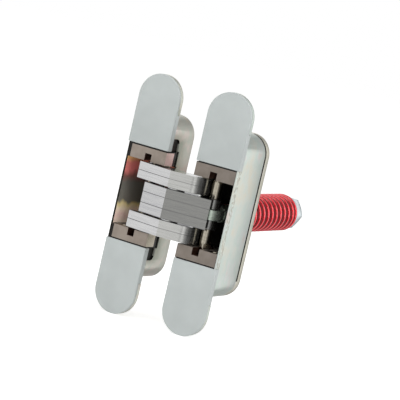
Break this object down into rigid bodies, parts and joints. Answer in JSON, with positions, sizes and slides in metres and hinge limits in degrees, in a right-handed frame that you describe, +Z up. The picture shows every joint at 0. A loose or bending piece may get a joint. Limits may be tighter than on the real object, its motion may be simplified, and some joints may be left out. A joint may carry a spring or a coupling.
{
  "type": "concealed door hinge",
  "caption": "Concealed door hinge: jamb and door housings joined by crossing laminated arms on groove-guided pins, with a spring on a pull rod that closes the door.",
  "frame": {"origin": "middle of the jamb half, on the plane where its flanges seat in the jamb", "axes": "+X from the door half to the jamb half, +Y into the jamb, +Z up along the pins"},
  "size_m": [0.07, 0.1229, 0.134],
  "materials": {
    "cover_paint": "matte",
    "zinc_case": "zinc plated, passivated",
    "satin_bracket": "satin nickel",
    "brushed_arm": "brushed",
    "bright_pin": "ground",
    "red_spring": "gloss",
    "zinc_fastener": "zinc plated"
  },
  "bodies": {
    "jamb_half": {"jamb_housing": "zinc_case", "jamb_back_lid": "zinc_case", "jamb_lid_screws": "bright_pin", "jamb_upper_bracket": "satin_bracket", "jamb_lower_bracket": "satin_bracket", "jamb_upper_cover": "cover_paint", "jamb_lower_cover": "cover_paint", "jamb_bracket_screws": "bright_pin", "jamb_upper_pivot_pin": "bright_pin", "jamb_lower_pivot_pin": "bright_pin", "closer_spring": "red_spring"},
    "outer_arms": {"upper_arm_inner_plate": "brushed_arm", "upper_arm_outer_plate": "brushed_arm", "lower_arm_inner_plate": "brushed_arm", "lower_arm_outer_plate": "brushed_arm", "centre_pin": "bright_pin", "centre_washers": "bright_pin", "outer_slide_pin": "bright_pin", "outer_slide_sleeve": "bright_pin"},
    "centre_arm": {"centre_arm_upper_plate": "brushed_arm", "centre_arm_middle_plate": "brushed_arm", "centre_arm_lower_plate": "brushed_arm", "centre_slide_pin": "bright_pin", "centre_slide_upper_sleeve": "bright_pin", "centre_slide_lower_sleeve": "bright_pin"},
    "door_half": {"door_housing": "zinc_case", "door_upper_bracket": "satin_bracket", "door_lower_bracket": "satin_bracket", "door_upper_cover": "cover_paint", "door_lower_cover": "cover_paint", "door_bracket_screws": "bright_pin", "door_pivot_pin": "bright_pin"},
    "pull_rod_set": {"pull_rod": "zinc_fastener", "spring_washer": "zinc_fastener", "rod_nut": "zinc_fastener"}
  },
  "joints": [
    {"name": "outer_arms_swing", "type": "hinge", "parent": "jamb_half", "child": "outer_arms", "pos_m": [-0.0091, 0.005, 0], "axis": [0, 0, 1], "range_deg": [0, 105.8]},
    {"name": "centre_arm_swing", "type": "hinge", "parent": "outer_arms", "child": "centre_arm", "pos_m": [-0.0219, -0.0016, 0], "axis": [0, 0, 1], "range_deg": [-27, 0]},
    {"name": "door_swing", "type": "hinge", "parent": "centre_arm", "child": "door_half", "pos_m": [-0.03408, 0.00609, 0], "axis": [0, 0, 1], "range_deg": [0, 106]},
    {"name": "rod_slide", "type": "slide", "parent": "jamb_half", "child": "pull_rod_set", "axis": [0, 1, 0], "range_m": [0, 0.0105], "deforming": ["closer_spring"]}
  ],
  "couplings": [
    {"joint": "centre_arm_swing", "follows": "outer_arms_swing", "ratio": -0.25142},
    {"joint": "door_swing", "follows": "outer_arms_swing", "ratio": 1},
    {"joint": "rod_slide", "follows": "outer_arms_swing", "m_per_rad": 0.0056141}
  ]
}
